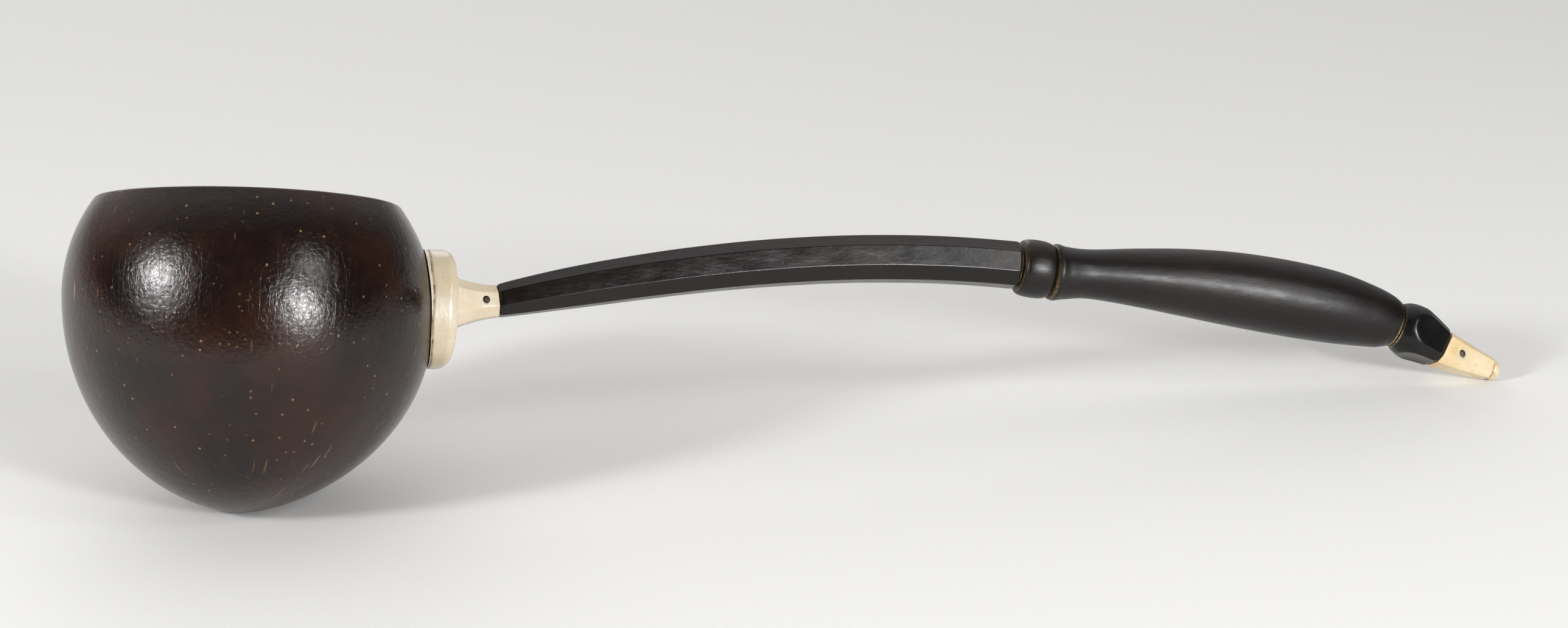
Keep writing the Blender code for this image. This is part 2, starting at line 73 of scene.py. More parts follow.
# Bone flange and neck.
FLANGE_HEIGHT = 0.0599
FLANGE_HALF_HEIGHT = 0.0171
FLANGE_HALF_WIDTH = 0.0190
FLANGE_SQUARENESS = 2.5
FLANGE_FACE = 0.0572
FLANGE_ROUNDING = 0.0028
NECK_START = Vector((0.0540, 0, 0.0615))
NECK_END = Vector((0.0714, 0, 0.0630))
NECK_END_ANGLE = 7.0
NECK_BASE_APOTHEM = 0.0092
NECK_END_APOTHEM = 0.00455
NECK_FLARE = 1.7
NECK_BASE_FLAT = 0.55
HANDLE_FLAT = 0.45
HANDLE_ROLL = math.radians(5.0)
SOCKET_RADIUS = 0.0030
SOCKET_DEPTH = 0.0130
SOCKET_PIN_X = 0.0675
PIN_RADIUS = 0.00095

# Rivets through flange and shell.
RIVET_RADIUS = 0.0011
RIVET_SPREAD = math.radians(14.8)
RIVET_TURNS = (33.0, 153.0, 273.0)
RIVET_RECESS = 0.0002
ROVE_RADIUS = 0.0026
ROVE_THICKNESS = 0.0008
ROVE_CLEARANCE = 0.0004
HEAD_RADIUS = 0.0019
HEAD_HEIGHT = 0.0009

# Shaft.
SHAFT_START = Vector((0.0717, 0, 0.0631))
SHAFT_END = Vector((0.2303, 0, 0.0804))
SHAFT_START_ANGLE = 13.0
SHAFT_END_ANGLE = -3.0
SHAFT_START_PULL = 0.062
SHAFT_END_PULL = 0.050
SHAFT_APOTHEM = 0.00675
SHAFT_THINNING = 0.00218
SHAFT_THINNING_REACH = 0.15
TENON_RADIUS = 0.0027

# Bead, grip, end cap and tip.
BEAD_MIDDLE = Vector((0.23565, 0, 0.0796))
BEAD_ANGLE = -6.0
BEAD_HALF_WIDTH = 0.0047
BEAD_RADIUS = 0.0088
BEAD_END_RADIUS = 0.0071
BORE_RADIUS = 0.0029
GRIP_AXIS = (
    # x, z, radius
    (0.2411, 0.0790, 0.0082),
    (0.2425, 0.0789, 0.0086),
    (0.2455, 0.0788, 0.0080),
    (0.2535, 0.0788, 0.0075),
    (0.2690, 0.0784, 0.0089),
    (0.2850, 0.0775, 0.0104),
    (0.3010, 0.0761, 0.0114),
    (0.3170, 0.0742, 0.0117),
    (0.3320, 0.0721, 0.0112),
    (0.3430, 0.0701, 0.0099),
    (0.3500, 0.0686, 0.0086),
    (0.3539, 0.0675, 0.0070),
)
CAP_START = Vector((0.3544, 0, 0.0673))
CAP_END = Vector((0.3688, 0, 0.0607))
CAP_START_ANGLE = -16.0
CAP_END_ANGLE = -29.0
CAP_RADII = (0.0069, 0.0080, 0.0086, 0.0089, 0.0090, 0.0090, 0.0090, 0.0090)
CAP_START_APOTHEM = 0.0092
CAP_END_APOTHEM = 0.0058
CAP_FLAT = 0.62
TIP_ROLL = math.radians(7.0)
TIP_START = Vector((0.3693, 0, 0.0604))
TIP_MIDDLE = Vector((0.3775, 0, 0.0574))
TIP_END = Vector((0.3864, 0, 0.0546))
TIP_END_ANGLE = -19.0
TIP_START_APOTHEM = 0.0056
TIP_MIDDLE_APOTHEM = 0.0045
TIP_END_APOTHEM = 0.0032
BUTTON_RADIUS = 0.0031
BUTTON_LENGTH = 0.0030
TIP_PIN_X = 0.3748

# Camera of the photograph, in metres and degrees.
CAMERA_PLACE = Vector((-0.25107, -0.99247, 0.38863))
CAMERA_AZIMUTH = -13.638
CAMERA_ELEVATION = 18.840
CAMERA_ROLL = -0.146
CAMERA_LENS = 83.85


# ---------------------------------------------------------------- the ladle's frame

def bowl_radius(height):
    """Outer radius of the coconut at heights above its pole."""
    height = np.asarray(height, float)
    depth = np.clip(1 - height / BELLY_HEIGHT, 0, 1)
    lower = BOWL_RADIUS * (1 - depth ** LOWER_SQUARENESS) ** (1 / LOWER_FULLNESS)
    rise = np.clip((height - BELLY_HEIGHT) / UPPER_SEMI_AXIS, 0, 1)
    return np.where(height < BELLY_HEIGHT, lower, BOWL_RADIUS * np.sqrt(1 - rise ** 2))


def bowl_shift(height):
    rise = np.asarray(height, float) / BELLY_HEIGHT - 1
    return sum(amount * rise ** (power + 1) for power, amount in enumerate(BOWL_SWAY))


def find_pose():
    """The matrix that lays the ladle down: the CAD bowl's rim says where it lies."""
    turn = Euler((-REST_LEAN, REST_PITCH, 0)).to_matrix()
    axis = turn @ Vector((0, 0, 1))
    corners = [vertex.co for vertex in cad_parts["bowl_shell"].data.vertices]
    top = max(corner.dot(axis) for corner in corners)
    rim = [corner for corner in corners if top - corner.dot(axis) < GAP]
    centre = sum(rim, Vector()) / len(rim)
    place = centre - turn @ Vector((float(bowl_shift(RIM_HEIGHT)), 0, RIM_HEIGHT))
    return Matrix.Translation(place) @ turn.to_4x4()


ladle_pose = find_pose()


def heading(angle):
    """Unit vector along the handle at an angle in degrees above +X."""
    return Vector((math.cos(math.radians(angle)), 0, math.sin(math.radians(angle))))


# ---------------------------------------------------------------- mesh building

def skin(rings):
    """Corners and faces of a closed body through rings of equal count. Its ends close on a point."""
    rings = [np.asarray(ring, float) for ring in rings]
    count = len(rings[0])
    corners = np.concatenate([rings[0].mean(0)[None], *rings, rings[-1].mean(0)[None]])
    here = np.arange(count)
    after = (here + 1) % count
    faces = [(0, 1 + b, 1 + a) for a, b in zip(here, after)]
    for level in range(len(rings) - 1):
        low = 1 + level * count
        high = low + count
        faces += [(low + a, low + b, high + b, high + a) for a, b in zip(here, after)]
    last = 1 + (len(rings) - 1) * count
    faces += [(last + a, last + b, len(corners) - 1) for a, b in zip(here, after)]
    return corners, faces


def add_piece(name, corners, faces, material, nodes, marks=None, sharp=50):
    """A visible piece in the ladle's frame that stands for CAD nodes. marks are numbers per corner."""
    mesh = bpy.data.meshes.new(name)
    mesh.from_pydata(np.asarray(corners).tolist(), [], faces)
    mesh.shade_smooth()
    mesh.set_sharp_from_angle(angle=math.radians(sharp))
    for mark, values in (marks or {}).items():
        layer = mesh.attributes.new(mark, "FLOAT", "POINT")
        layer.data.foreach_set("value", np.asarray(values, np.float32))
    mesh.materials.append(material)
    mesh.transform(ladle_pose)
    piece = bpy.data.objects.new(name, mesh)
    bpy.context.scene.collection.objects.link(piece)
    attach(piece, "root")
    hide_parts(*nodes)
    return piece


def frame_rings(middles, angles, sides, ups):
    """Rings around a path in the handle's mid-plane."""
    rings = []
    for middle, angle, side, up in zip(middles, angles, sides, ups):
        upwards = np.array(heading(angle + 90))
        ring = np.asarray(middle) + np.outer(up, upwards)
        ring[:, 1] += side
        rings.append(ring)
    return rings


def turned_rings(profile, place, direction, count=96):
    """Rings of a body turned about a line. The profile's rows are (radius, height along the line)."""
    across = direction.to_track_quat("Z", "Y").to_matrix()
    turn = np.arange(count) * 2 * math.pi / count
    rings = []
    for radius, height in profile:
        local = np.stack([radius * np.cos(turn), radius * np.sin(turn), np.full(count, height)], 1)
        rings.append(local @ np.array(across).T + np.array(place))
    return rings


def facet_columns(flat, roll, per_facet=9, per_edge=9, edge_reach=0.040):
    """Angles around a chamfered square, gathered at its eight edges. Zero is +Y, a quarter turn up."""
    corner = math.atan(flat)
    edges = sorted([quarter * math.pi / 2 + side * corner for quarter in range(4) for side in (-1, 1)])
    columns = []
    for index, edge in enumerate(edges):
        following = edges[(index + 1) % 8] + (2 * math.pi if index == 7 else 0)
        columns += list(edge + np.linspace(-edge_reach, edge_reach, per_edge))
        inner = np.linspace(edge + edge_reach, following - edge_reach, per_facet + 2)[1:-1]
        columns += list(inner)
    return np.array(columns) - roll


def facet_radius(columns, apothem, flat, roll, crispness=70, scoop=0.0, round_radius=None):
    """Distance from the middle to a chamfered square at each angle, with slightly rounded edges.

    scoop hollows the four main facets, and round_radius trims the whole section to a circle."""
    total = np.zeros_like(columns)
    for facet in range(8):
        away = columns + roll - facet * math.pi / 4
        away = (away + math.pi) % (2 * math.pi) - math.pi
        main = facet % 2 == 0
        reach = apothem if main else apothem * (1 + flat) / math.sqrt(2)
        facing = np.cos(away) > 0.2
        across = np.where(facing, np.tan(np.where(facing, away, 0)), 0)
        half = flat if main else (1 - flat) / (1 + flat)
        hollow = scoop * np.clip(1 - (across / half) ** 2, 0, 1) if main else 0
        distance = (reach - hollow) / np.where(facing, np.cos(away), 1)
        total += np.where(facing, (apothem / distance) ** crispness, 0)
    if round_radius is not None:
        total += (apothem / round_radius) ** crispness
    return apothem * total ** (-1 / crispness)


def ring_of(columns, radius):
    return radius * np.cos(columns), radius * np.sin(columns)


def along(rows, share):
    """Read a smooth curve through rows of numbers (Catmull-Rom) at a share of its length."""
    position = share * (len(rows) - 1)
    index = min(int(position), len(rows) - 2)
    t = position - index
    before, first, second, after = (
        rows[min(max(index + step, 0), len(rows) - 1)] for step in (-1, 0, 1, 2))
    return [0.5 * (2 * b + (c - a) * t + (2 * a - 5 * b + 4 * c - d) * t ** 2
                   + (3 * b - a - 3 * c + d) * t ** 3)
            for a, b, c, d in zip(before, first, second, after)]


def ripple(points, size, seed):
    """Smooth noise from -1 to 1 at each point, with waves of about that size in metres."""
    shift = Vector((seed * 7.3, seed * 3.1, seed * 5.7))
    return np.array([noise.noise(Vector(point) / size + shift) for point in points])


def bored(piece, tools):
    """Cut round holes through a piece. A tool is (start, end, radius) in the ladle's frame."""
    cutters = []
    for start, end, radius in tools:
        line = end - start
        rings = turned_rings([(radius, 0), (radius, line.length)], start, line, count=48)
        corners, faces = skin(rings)
        mesh = bpy.data.meshes.new("bore")
        mesh.from_pydata(corners.tolist(), [], faces)
        mesh.transform(ladle_pose)
        cutter = bpy.data.objects.new("bore", mesh)
        bpy.context.scene.collection.objects.link(cutter)
        cut = piece.modifiers.new("bore", "BOOLEAN")
        cut.operation = "DIFFERENCE"
        cut.object = cutter
        cutters.append(cutter)
    bpy.context.view_layer.update()
    mesh = bpy.data.meshes.new_from_object(piece.evaluated_get(bpy.context.evaluated_depsgraph_get()))
    mesh.name = piece.name
    piece.modifiers.clear()
    piece.data = mesh
    for cutter in cutters:
        bpy.data.objects.remove(cutter, do_unlink=True)


# ---------------------------------------------------------------- pieces

def rounded_corner(before, corner, after, reach, steps=6):
    """Points of a rounded corner between two straight stretches of a profile."""
    before, corner, after = (np.asarray(point, float) for point in (before, corner, after))
    start = corner + (before - corner) / np.linalg.norm(before - corner) * reach
    end = corner + (after - corner) / np.linalg.norm(after - corner) * reach
    shares = np.linspace(0, 1, steps)[:, None]
    return (1 - shares) ** 2 * start + 2 * shares * (1 - shares) * corner + shares ** 2 * end


def even_profile(points, count, trim):
    """A profile read at even steps along its length, stopping short of its end."""
    lengths = np.concatenate([[0], np.cumsum(np.linalg.norm(np.diff(points, axis=0), axis=1))])
    marks = np.linspace(0, lengths[-1] - trim, count)
    return np.stack([np.interp(marks, lengths, points[:, axis]) for axis in (0, 1)], 1)


def bowl_profiles():
    """Outer and inner profile of the shell, each from its pole to the rim."""
    turn = np.linspace(0, math.pi / 2, 1500)[1:]
    heights = np.concatenate([BELLY_HEIGHT * (1 - np.cos(turn)),
                              np.linspace(BELLY_HEIGHT, RIM_HEIGHT + RIM_WALL, 900)[1:]])
    outer = np.stack([bowl_radius(heights), heights], 1)
    slope = np.gradient(outer, axis=0)
    slope /= np.linalg.norm(slope, axis=1)[:, None]
    wall = POLE_WALL + (RIM_WALL - POLE_WALL) * heights / RIM_HEIGHT
    inner = outer - np.stack([slope[:, 1], -slope[:, 0]], 1) * wall[:, None]
    outer = outer[outer[:, 1] <= RIM_HEIGHT]
    inner = inner[(inner[:, 1] <= RIM_HEIGHT) & (inner[:, 0] > 0)]
    return outer, inner


def make_bowl(material):
    outer, inner = bowl_profiles()
    outside = even_profile(outer, OUTER_LEVELS, RIM_ROUNDING)[1:]
    inside = even_profile(inner, INNER_LEVELS, RIM_ROUNDING)[1:]
    outer_corner, inner_corner = outer[-1], inner[-1]
    rim = np.concatenate([
        rounded_corner(outside[-1], outer_corner, inner_corner, RIM_ROUNDING)[1:],
        np.linspace(outer_corner, inner_corner, 9)[2:-2],
        rounded_corner(outer_corner, inner_corner, inside[-1], RIM_ROUNDING)[:-1]])
    profile = np.concatenate([outside, rim, inside[::-1]])
    part = np.concatenate([np.zeros(len(outside)), np.full(len(rim), 0.5), np.ones(len(inside))])
    turn = np.arange(BOWL_COLUMNS) * 2 * math.pi / BOWL_COLUMNS
    slope = np.gradient(profile, axis=0)
    slope /= np.linalg.norm(slope, axis=1)[:, None]
    rings = []
    for (radius, height), (along_out, along_up) in zip(profile, slope):
        ring = np.stack([radius * np.cos(turn) + bowl_shift(height), radius * np.sin(turn),
                         np.full(BOWL_COLUMNS, height)], 1)
        outwards = np.stack([along_up * np.cos(turn), along_up * np.sin(turn),
                             np.full(BOWL_COLUMNS, -along_out)], 1)
        swell = 0.10 * MM * ripple(ring, 0.021, 1) + 0.022 * MM * ripple(ring, 0.006, 2)
        rings.append(ring + outwards * swell[:, None])
    corners, faces = skin(rings)
    # The shell is worn flat where it stands on the table.
    turn_back = np.array(ladle_pose.to_3x3())
    heights = corners @ turn_back[2] + ladle_pose.translation.z
    corners = corners - np.outer(np.minimum(heights, 0), turn_back[2])
    sides = np.concatenate([[0], np.repeat(part, BOWL_COLUMNS), [1]])
    worn = np.clip(1 - heights / (0.5 * MM), 0, 1)
    return add_piece("coconut_bowl", corners, faces, material, ["bowl_shell"],
                     {"inside": sides, "worn": worn})


def flange_outline(columns):
    side = np.abs(np.cos(columns) / FLANGE_HALF_WIDTH) ** FLANGE_SQUARENESS
    up = np.abs(np.sin(columns) / FLANGE_HALF_HEIGHT) ** FLANGE_SQUARENESS
    return (side + up) ** (-1 / FLANGE_SQUARENESS)


def shell_surface(side, height, gap):
    """How far towards the handle the shell's outside lies, at a side offset and a height."""
    return bowl_shift(height) + np.sqrt((bowl_radius(height) + gap) ** 2 - side ** 2)


def neck_section(share):
    """Middle, angle, columns and radii of the neck at a share of its length."""
    flare = max(1 - share, 0) ** NECK_FLARE
    apothem = NECK_END_APOTHEM + (NECK_BASE_APOTHEM - NECK_END_APOTHEM) * flare
    flat = HANDLE_FLAT + (NECK_BASE_FLAT - HANDLE_FLAT) * flare
    columns = facet_columns(flat, HANDLE_ROLL, per_facet=15)
    radius = facet_radius(columns, apothem, flat, HANDLE_ROLL, crispness=60)
    return NECK_START.lerp(NECK_END, share), NECK_END_ANGLE * share, columns, radius


def make_flange(material):
    columns = facet_columns(NECK_BASE_FLAT, HANDLE_ROLL, per_facet=15)
    outline = flange_outline(columns)
    rings, dirt, lip = [], [], []

    def add_ring(x, side, height, soil=0.0, edge=0.0):
        rings.append(np.stack(np.broadcast_arrays(x, side, height), 1))
        dirt.append(np.broadcast_to(soil, columns.shape))
        lip.append(np.broadcast_to(edge, columns.shape))

    # The scooped back, from its middle out to the seam.
    for share in np.linspace(0.04, 1, 26):
        side, up = ring_of(columns, outline * share - 0.12 * MM * (share == 1))
        height = FLANGE_HEIGHT + up
        add_ring(shell_surface(side, height, GAP), side, height, soil=1.0 * (share > 0.98))

    # The side wall: a pale lip, a wavy groove of dirt, then the plain wall.
    side, up = ring_of(columns, outline)
    seam = shell_surface(side, FLANGE_HEIGHT + up, GAP)
    wall_end = FLANGE_FACE - FLANGE_ROUNDING
    wave = ripple(np.stack([np.zeros_like(side), side, up], 1), 0.0055, 5)
    fine_wave = ripple(np.stack([np.zeros_like(side), side, up], 1), 0.0016, 6)
    widening = np.clip(0.55 + 0.75 * up / FLANGE_HALF_HEIGHT, 0.25, 1.3)
    groove_at = (1.0 * widening + 0.22 * wave + 0.12 * fine_wave) * MM
    for share in np.concatenate([np.linspace(0.004, 0.40, 30), np.linspace(0.43, 1, 14)]):
        x = seam + (wall_end - seam) * share
        away = (x - seam - groove_at) / (0.40 * MM)
        groove = np.exp(-away ** 2)
        seat = np.exp(-((x - seam) / (0.16 * MM)) ** 2)
        side, up = ring_of(columns, outline - (0.16 * groove + 0.05 * seat) * MM)
        add_ring(x, side, FLANGE_HEIGHT + up, soil=groove,
                 edge=np.clip(1 - (x - seam) / groove_at, 0, 1))

    # Rounded front edge and the face.
    for turn in np.linspace(0, math.pi / 2, 12)[1:]:
        side, up = ring_of(columns, outline - FLANGE_ROUNDING * (1 - math.cos(turn)))
        add_ring(wall_end + FLANGE_ROUNDING * math.sin(turn), side, FLANGE_HEIGHT + up)
    base_share = (FLANGE_FACE - NECK_START.x) / (NECK_END.x - NECK_START.x)
    fillet = 0.7 * MM
    foot_share = base_share + fillet / (NECK_END.x - NECK_START.x)
    middle, angle, neck_columns, radius = neck_section(base_share)
    foot_side, foot_up = ring_of(neck_columns, radius + fillet)
    edge_side, edge_up = ring_of(columns, outline - FLANGE_ROUNDING)
    edge_height = FLANGE_HEIGHT + edge_up
    foot_height = middle.z + foot_up
    for share in np.linspace(0, 1, 9)[1:]:
        add_ring(FLANGE_FACE, edge_side + (foot_side - edge_side) * share,
                 edge_height + (foot_height - edge_height) * share)

    # Fillet, neck, mouth and socket.
    def add_section(share, inset=0.0, back=0.0, soil=0.0):
        middle, angle, neck_columns, radius = neck_section(share)
        ring = frame_rings([middle], [angle], [(radius - inset) * np.cos(neck_columns)],
                           [(radius - inset) * np.sin(neck_columns)])[0]
        ring += np.array(heading(angle)) * back
        add_ring(ring[:, 0], ring[:, 1], ring[:, 2], soil=soil)

    for turn in np.linspace(0, math.pi / 2, 6)[1:]:
        share = base_share + (foot_share - base_share) * (1 - math.cos(turn))
        add_section(share, inset=-fillet * (1 - math.sin(turn)))
    edge = 0.25 * MM
    neck_length = NECK_END.x - NECK_START.x
    for share in np.linspace(foot_share, 1 - edge / neck_length, 44)[1:]:
        add_section(share)
    for turn in np.linspace(0, math.pi / 2, 5)[1:]:
        add_section(1 - edge / neck_length * (1 - math.sin(turn)),
                    inset=edge * (1 - math.cos(turn)), soil=0.15)
    socket_line = (NECK_END - NECK_START).normalized()
    _, angle, neck_columns, radius = neck_section(1)
    for depth, reach in ((0, SOCKET_RADIUS + 0.1 * MM), (0.15 * MM, SOCKET_RADIUS),
                         (SOCKET_DEPTH, SOCKET_RADIUS), (SOCKET_DEPTH, 0.2 * MM)):
        ring = frame_rings([NECK_END - socket_line * depth], [angle], [reach * np.cos(neck_columns)],
                           [reach * np.sin(neck_columns)])[0]
        add_ring(ring[:, 0], ring[:, 1], ring[:, 2], soil=0.6)

    corners, faces = skin(rings)
    swell = 0.035 * MM * ripple(corners, 0.006, 8) * (np.arange(len(corners)) > 27 * len(columns))
    corners[:, 1] += swell * np.sign(corners[:, 1])
    marks = {"dirt": np.concatenate([[0], np.concatenate(dirt), [0]]),
             "lip": np.concatenate([[0], np.concatenate(lip), [0]])}
    return add_piece("bone_flange_socket", corners, faces, material, ["bone_flange"], marks)


def rivet_line(turn):
    """Unit vector from the bowl's middle along a rivet, and how far out the shell lies along it."""
    turn = math.radians(turn)
    direction = Vector((
        math.cos(RIVET_SPREAD),
        -math.sin(RIVET_SPREAD) * math.sin(turn),
        math.sin(RIVET_SPREAD) * math.cos(turn)))
    reach = BOWL_RADIUS
    for _ in range(4):
        height = FLANGE_HEIGHT + reach * direction.z
        across = math.hypot(reach * direction.x - bowl_shift(height), reach * direction.y)
        reach += float(bowl_radius(height)) - across
    return direction, reach


def make_rivets(flange, metal):
    middle = Vector((0, 0, FLANGE_HEIGHT))
    holes = []
    for number, turn in enumerate(RIVET_TURNS, start=1):
        direction, reach = rivet_line(turn)
        wall = POLE_WALL + (RIM_WALL - POLE_WALL) * (FLANGE_HEIGHT + reach * direction.z) / RIM_HEIGHT
        rove_seat = reach - wall - GAP - ROVE_CLEARANCE
        head_seat = rove_seat - ROVE_THICKNESS - GAP
        outer_end = FLANGE_FACE / direction.x - RIVET_RECESS
        holes.append((middle + direction * (reach - 2 * MM), middle + direction * (outer_end + 4 * MM),
                      RIVET_RADIUS + 0.1 * MM))
        crown = [(HEAD_RADIUS * math.cos(step), -HEAD_HEIGHT * math.sin(step))
                 for step in np.linspace(math.pi / 2 - 0.05, 0, 10)]
        shank = outer_end - head_seat
        profile = crown + [(HEAD_RADIUS - 0.1 * MM, 0.05 * MM), (RIVET_RADIUS, 0.05 * MM),
                           (RIVET_RADIUS, shank - 0.15 * MM), (RIVET_RADIUS - 0.15 * MM, shank),
                           (0.1 * MM, shank + 0.04 * MM)]
        corners, faces = skin(turned_rings(profile, middle + direction * head_seat, direction, 40))
        hammered = 0.04 * MM * ripple(corners, 0.0007, 20 + number)
        corners += np.outer(hammered, np.array(direction))
        add_piece(f"rivet_{number}", corners, faces, metal, [f"flange_rivet_{number}"])
        make_rove(number, middle + direction * rove_seat, direction, metal)
    bored(flange, holes)


def make_rove(number, place, direction, metal):
    """A small dished washer under the rivet's head."""
    inner, outer, edge = RIVET_RADIUS + 0.1 * MM, ROVE_RADIUS, 0.15 * MM
    profile = [(inner, 0), (outer - edge, 0), (outer, -edge), (outer, -ROVE_THICKNESS + edge),
               (outer - edge, -ROVE_THICKNESS), (inner, -ROVE_THICKNESS)]
    rings = turned_rings(profile, place, direction, 40)
    count = len(rings[0])
    corners = np.concatenate(rings)
    faces = []
    for level in range(len(rings)):
        low, high = level * count, (level + 1) % len(rings) * count
        faces += [(low + a, low + (a + 1) % count, high + (a + 1) % count, high + a)
                  for a in range(count)]
    corners += np.outer(0.05 * MM * ripple(corners, 0.0016, 30 + number), np.array(direction))
    add_piece(f"rove_{number}", corners, faces, metal, [f"rivet_rove_{number}"])


def make_pin(name, node, middle, half_length, roll, metal, host):
    """A pin across the handle, its ends a little below the facets, and its bore in its host."""
    square = Vector((0, math.cos(roll), -math.sin(roll)))
    length = half_length - 0.15 * MM
    end = [(PIN_RADIUS, length - 0.15 * MM), (PIN_RADIUS * 0.88, length),
           (PIN_RADIUS * 0.55, length + 0.03 * MM), (0.1 * MM, length)]
    profile = [(radius, -height) for radius, height in reversed(end)] + end
    corners, faces = skin(turned_rings(profile, middle, square, 40))
    corners += np.outer(0.05 * MM * ripple(corners, 0.0006, 41), np.array(square))
    add_piece(name, corners, faces, metal, [node])
    reach = square * (half_length + 3 * MM)
    bored(host, [(middle - reach, middle + reach, PIN_RADIUS + 0.12 * MM)])


def make_shaft(material):
    count = 240
    knots = (SHAFT_START, SHAFT_START + heading(SHAFT_START_ANGLE) * SHAFT_START_PULL,
             SHAFT_END - heading(SHAFT_END_ANGLE) * SHAFT_END_PULL, SHAFT_END)
    middles = interpolate_bezier(*knots, count)
    columns = facet_columns(HANDLE_FLAT, HANDLE_ROLL)
    length = (SHAFT_END - SHAFT_START).length
    rings, dirt = [], []
    socket_line = (NECK_END - NECK_START).normalized()
    for depth, reach in ((SOCKET_DEPTH - GAP, TENON_RADIUS), (0, TENON_RADIUS)):
        ring = frame_rings([NECK_END - socket_line * depth], [NECK_END_ANGLE],
                           [reach * np.cos(columns)], [reach * np.sin(columns)])[0]
        rings.append(ring)
        dirt.append(np.zeros(len(columns)))
    shoulder = 1.3 * MM
    for index, middle in enumerate(middles):
        share = index / (count - 1)
        ahead = middles[min(index + 1, count - 1)] - middles[max(index - 1, 0)]
        angle = math.degrees(math.atan2(ahead.z, ahead.x))
        angle += (NECK_END_ANGLE - angle) * math.exp(-share * length / (1.5 * MM))
        apothem = SHAFT_APOTHEM - SHAFT_THINNING * math.exp(-share / SHAFT_THINNING_REACH)
        start_edge = 0.22 * MM * math.exp(-share * length / (0.25 * MM))
        left = max(1 - (1 - share) * length / shoulder, 0)
        round_radius = apothem * (1.12 - 0.22 * left ** 2) if left > 0 else None
        radius = facet_radius(columns, apothem - start_edge, HANDLE_FLAT, HANDLE_ROLL, 150,
                              round_radius=round_radius)
        ring = frame_rings([middle], [angle], [radius * np.cos(columns)], [radius * np.sin(columns)])[0]
        rings.append(ring)
        dirt.append(np.full(len(columns), left ** 3))
    corners, faces = skin(rings)
    # Hand-scraped facets: they waver a little along their length.
    stretched = corners * np.array([0.35, 1, 1])
    corners[:, 2] += 0.045 * MM * ripple(stretched, 0.006, 50)
    corners[:, 1] += 0.045 * MM * ripple(stretched, 0.006, 51)
    marks = {"dirt": np.concatenate([[0], np.concatenate(dirt), [1]])}
    return add_piece("ebony_shaft", corners, faces, material, ["shaft"], marks, sharp=60)


def make_bead(material):
    profile, soil = [], []
    for step in np.linspace(0, math.pi, 44):
        swell = max(math.sin(step), 0) ** 0.55
        radius = BEAD_END_RADIUS + (BEAD_RADIUS - BEAD_END_RADIUS) * swell
        profile.append((radius, -BEAD_HALF_WIDTH * math.cos(step)))
        soil.append(max(1 - swell / 0.35, 0))
    profile = [(BORE_RADIUS, -BEAD_HALF_WIDTH)] + profile + [(BORE_RADIUS, BEAD_HALF_WIDTH)]
    soil = [1] + soil + [1]
    rings = turned_rings(profile, BEAD_MIDDLE, heading(BEAD_ANGLE), 144)
    corners, faces = skin(rings)
    marks = {"dirt": np.concatenate([[1], np.repeat(soil, 144), [1]])}
    return add_piece("ebony_bead", corners, faces, material, ["collar_bead"], marks, sharp=40)


def grip_lip(distance):
    """Change in the grip's radius next to the bead: a fine ridge, a fine groove, then the lip."""
    ridge = 0.16 * math.exp(-((distance - 0.30 * MM) / (0.11 * MM)) ** 2)
    groove = -0.30 * math.exp(-((distance - 0.62 * MM) / (0.12 * MM)) ** 2)
    start = -0.45 * math.exp(-distance / (0.20 * MM))
    return (ridge + groove + start) * MM


def make_grip(material):
    count = 300
    rows = [along(GRIP_AXIS, index / (count - 1)) for index in range(count)]
    fine = [along(GRIP_AXIS, share) for share in np.linspace(0, 2.2 / 11, 60)]
    rows = fine + [row for row in rows if row[0] > fine[-1][0] + 0.1 * MM]
    sections = 128
    turn = np.arange(sections) * 2 * math.pi / sections
    rings, dirt = [], []
    start = rows[0][0]
    end = rows[-1][0]
    for index, (x, z, radius) in enumerate(rows):
        near, far = rows[max(index - 1, 0)], rows[min(index + 1, len(rows) - 1)]
        angle = math.degrees(math.atan2(far[1] - near[1], far[0] - near[0]))
        radius += grip_lip(x - start)
        rings += frame_rings([(x, 0, z)], [angle], [radius * np.cos(turn)], [radius * np.sin(turn)])
        soil = max(math.exp(-(x - start) / (0.35 * MM)), math.exp(-(end - x) / (0.4 * MM)),
                   0.6 * math.exp(-((x - start - 0.62 * MM) / (0.15 * MM)) ** 2))
        dirt.append(np.full(sections, soil))
    corners, faces = skin(rings)
    stretched = corners * np.array([0.5, 1, 1])
    corners[:, 2] += 0.05 * MM * ripple(stretched, 0.008, 60)
    marks = {"dirt": np.concatenate([[1], np.concatenate(dirt), [1]])}
    return add_piece("ebony_grip", corners, faces, material, ["grip"], marks, sharp=40)


def quadratic(start, middle, end, share):
    return start * (1 - share) ** 2 + middle * 2 * share * (1 - share) + end * share ** 2


